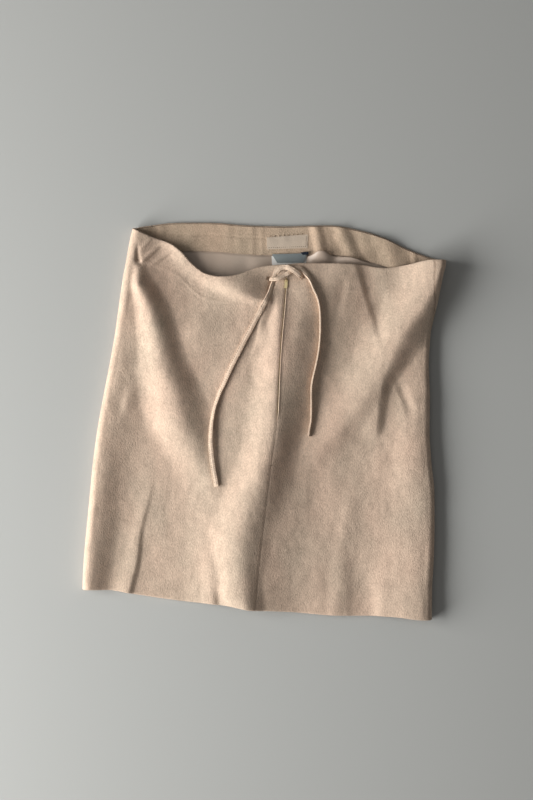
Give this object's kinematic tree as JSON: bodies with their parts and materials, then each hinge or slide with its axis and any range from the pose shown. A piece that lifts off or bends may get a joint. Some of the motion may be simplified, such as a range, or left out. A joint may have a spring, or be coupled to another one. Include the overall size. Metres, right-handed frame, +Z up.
{
  "type": "mini skirt",
  "caption": "Short suede skirt laid flat on its back, waist open towards the back facing, with a closed centre front zip and a suede tie knotted over it.",
  "frame": {"origin": "middle of the flat base that the skirt lies on", "axes": "+X towards the wearer's left side, +Y from the hem towards the waist, +Z up out of the surface it lies on"},
  "size_m": [0.416, 0.4532, 0.0301],
  "materials": {
    "suede": "soft napped suede, pale beige, matt and slightly mottled",
    "inner_suede": "napped suede facing, matt",
    "lining": "satin lining, soft sheen",
    "label": "woven label, bare",
    "care_label": "smooth white ribbon, bare",
    "grey_label": "smooth grey ribbon, bare",
    "navy_tab": "woven navy tab, bare",
    "zip_tape": "woven tape",
    "brass": "aged brass"
  },
  "bodies": {
    "skirt": {"front_left": "suede", "front_right": "suede", "back": "suede", "front_left_facing": "inner_suede", "front_right_facing": "inner_suede", "back_facing": "inner_suede", "back_lining": "lining", "label": "label", "care_label": "care_label", "care_label_fold": "grey_label", "size_tab": "navy_tab", "zip_tape": "zip_tape", "zip_slider": "brass", "tie_left": "suede", "tie_right": "suede"},
    "zip_pull": {"zip_pull": "brass"}
  },
  "joints": [
    {"name": "zip_pull_swing", "type": "hinge", "parent": "skirt", "child": "zip_pull", "pos_m": [0.02547, 0.161, 0.01535], "axis": [-0.9977, 0.0676, 0], "range_deg": [0, 90]}
  ]
}
